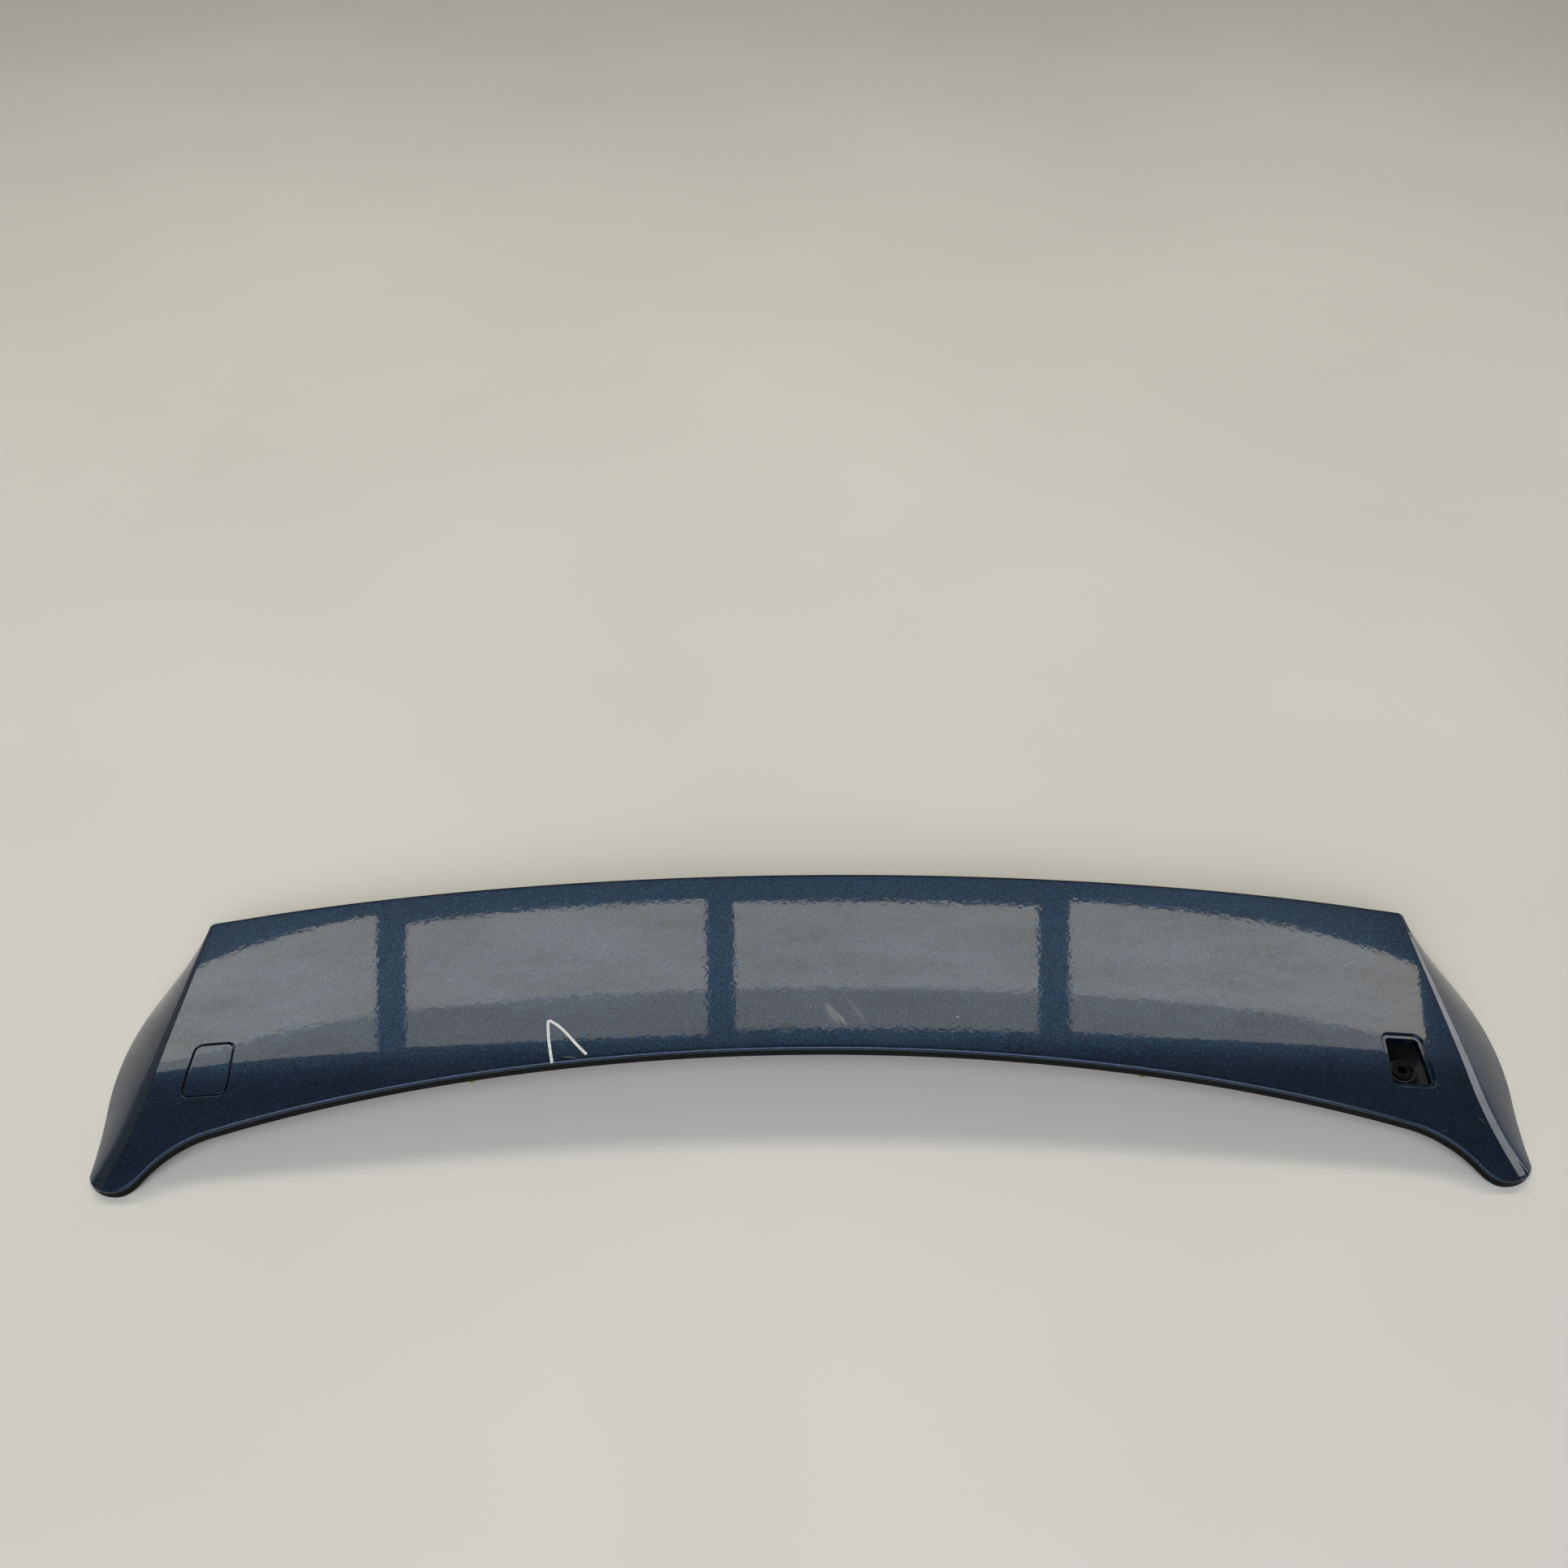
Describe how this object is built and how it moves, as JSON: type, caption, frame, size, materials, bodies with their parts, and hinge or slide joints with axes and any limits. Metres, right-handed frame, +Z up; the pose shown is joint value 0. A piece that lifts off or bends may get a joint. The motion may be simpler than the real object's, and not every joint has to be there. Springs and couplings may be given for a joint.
{
  "type": "tailgate spoiler",
  "caption": "Wide painted car tailgate spoiler: bonded skin and inner panel with forward end legs, side fins, recessed screw openings, a cover cap, clips and seals.",
  "frame": {"origin": "midway between the two end screws, at the height of their seats", "axes": "+X to the right across the car, +Y to the rear, towards the trailing edge, +Z up"},
  "size_m": [1.1834, 0.2735, 0.07],
  "materials": {
    "body_paint": "dark blue metallic base coat under clear coat, hazed and scuffed",
    "black_moulding": "moulded black, fine grain",
    "rubber_strip": "matt extruded",
    "zinc_steel": "zinc plated, dull",
    "foam": "closed-cell foam",
    "nylon": "natural nylon, slightly yellowed"
  },
  "bodies": {
    "root": {"cover_cap_left": "body_paint", "edge_clip_left": "nylon", "edge_clip_right": "nylon", "inner_panel": "black_moulding", "leading_edge_seal": "rubber_strip", "leg_pad_left": "foam", "leg_pad_right": "foam", "outer_skin": "body_paint", "screw_seal_left": "foam", "screw_seal_right": "foam", "screw_sleeve_left": "zinc_steel", "screw_sleeve_right": "zinc_steel"}
  },
  "joints": []
}
